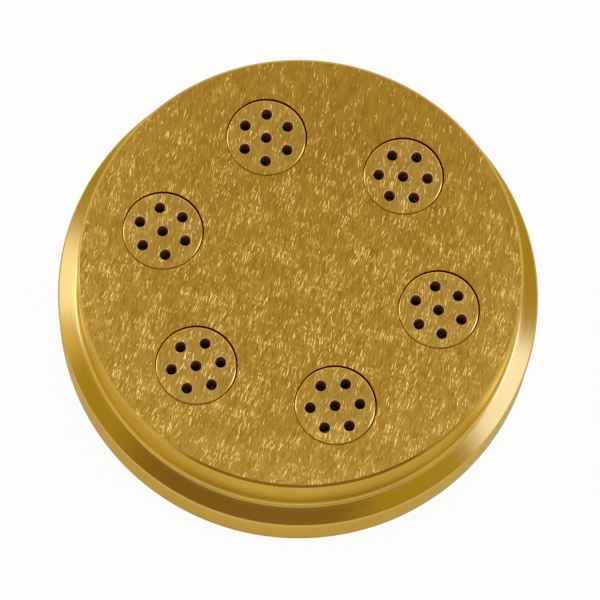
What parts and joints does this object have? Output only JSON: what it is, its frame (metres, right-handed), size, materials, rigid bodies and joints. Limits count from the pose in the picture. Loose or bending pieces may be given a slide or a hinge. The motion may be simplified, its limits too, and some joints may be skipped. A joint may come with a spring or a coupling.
{
  "type": "pasta extrusion die",
  "caption": "Round turned brass die with a nose, conical shoulder and flange; flush stepped inserts in its face, each pierced with round holes, shape dough into spaghetti.",
  "frame": {"origin": "centre of the flat dough side, on the axis of the die", "axes": "+Z along the axis of the die, from the dough side to the outlet face; +X through the centre of the first insert"},
  "size_m": [0.092, 0.092, 0.0252],
  "materials": {
    "body_brass": "outlet face scratch-brushed, walls turned and satin polished",
    "insert_brass": "outlet face scratch-brushed with the body, holes dark"
  },
  "bodies": {
    "root": {"die_body": "body_brass", "insert_1": "insert_brass", "insert_2": "insert_brass", "insert_3": "insert_brass", "insert_4": "insert_brass", "insert_5": "insert_brass", "insert_6": "insert_brass"}
  },
  "joints": []
}
